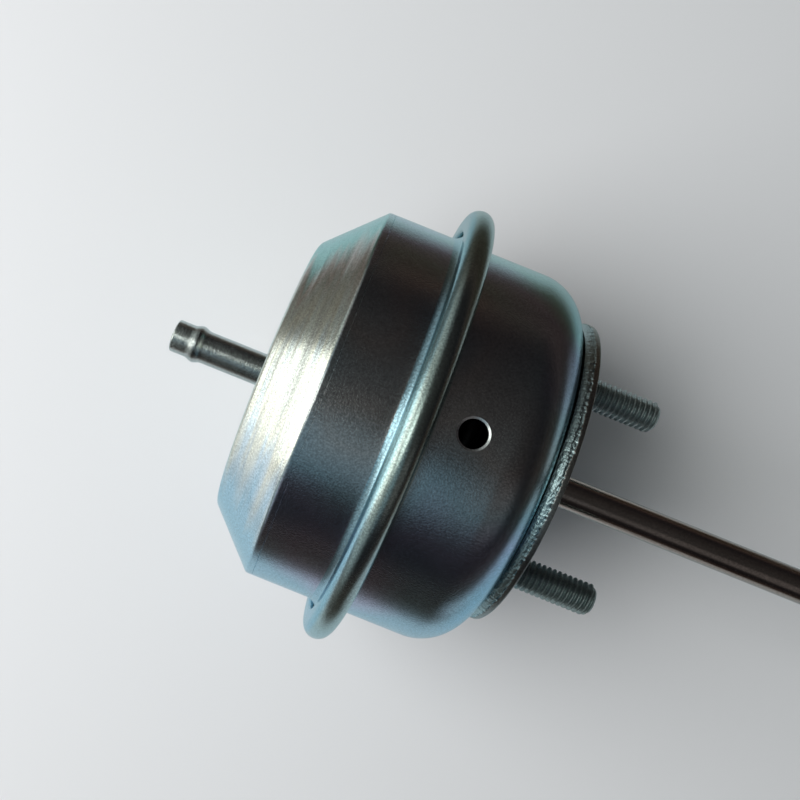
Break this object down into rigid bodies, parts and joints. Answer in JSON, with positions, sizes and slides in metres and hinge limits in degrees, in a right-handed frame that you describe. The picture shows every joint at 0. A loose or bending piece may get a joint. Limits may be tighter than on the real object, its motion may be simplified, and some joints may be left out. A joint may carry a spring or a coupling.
{
  "type": "turbo actuator",
  "caption": "Pneumatic wastegate actuator: pressed steel can with a rolled crimp, hose port, stud plate, spring, diaphragm and a sliding rod with a screwed eye.",
  "frame": {"origin": "centre of the two mounting studs, on the mounting plate's outer face", "axes": "+X along the rod, outwards; +Z away from the bench when the actuator lies on the rim of its crimp; +Y completes the frame"},
  "size_m": [0.1777, 0.0812, 0.0812],
  "materials": {
    "zinc_shell": "blue-white zinc plated pressed steel, satin",
    "zinc_plate": "blue-white zinc plated, sheared edge left rough",
    "zinc_stud": "grey zinc plated rolled thread",
    "port_steel": "drawn steel tube, bright",
    "rod_steel": "ground and polished steel",
    "spring_steel": "oiled spring wire",
    "pressed_steel": "bare pressed steel",
    "diaphragm_rubber": "fabric reinforced silicone rubber, matt",
    "bush_bronze": "sintered bronze",
    "wiper_felt": "graphite filled plastic",
    "fitting_steel": "zinc plated turned steel"
  },
  "bodies": {
    "housing": {"pressure_cap": "zinc_shell", "hose_port": "port_steel", "spring_can": "zinc_shell", "diaphragm": "diaphragm_rubber", "compression_spring": "spring_steel", "spring_seat": "pressed_steel", "bush_carrier": "pressed_steel", "guide_bush": "bush_bronze", "rod_wiper": "wiper_felt", "wiper_retainer": "pressed_steel", "mounting_plate": "zinc_plate", "stud_upper": "zinc_stud", "stud_lower": "zinc_stud"},
    "rod": {"actuator_rod": "rod_steel", "piston_cup": "pressed_steel", "clamp_plate": "pressed_steel", "rod_washer": "pressed_steel", "jam_nut": "fitting_steel", "rod_end": "fitting_steel"}
  },
  "joints": [
    {"name": "rod_stroke", "type": "slide", "parent": "housing", "child": "rod", "axis": [1, 0, 0], "range_m": [0, 0.01], "stiffness_N_per_m": 7000, "springref_m": -0.028, "deforming": ["compression_spring", "diaphragm"]}
  ]
}
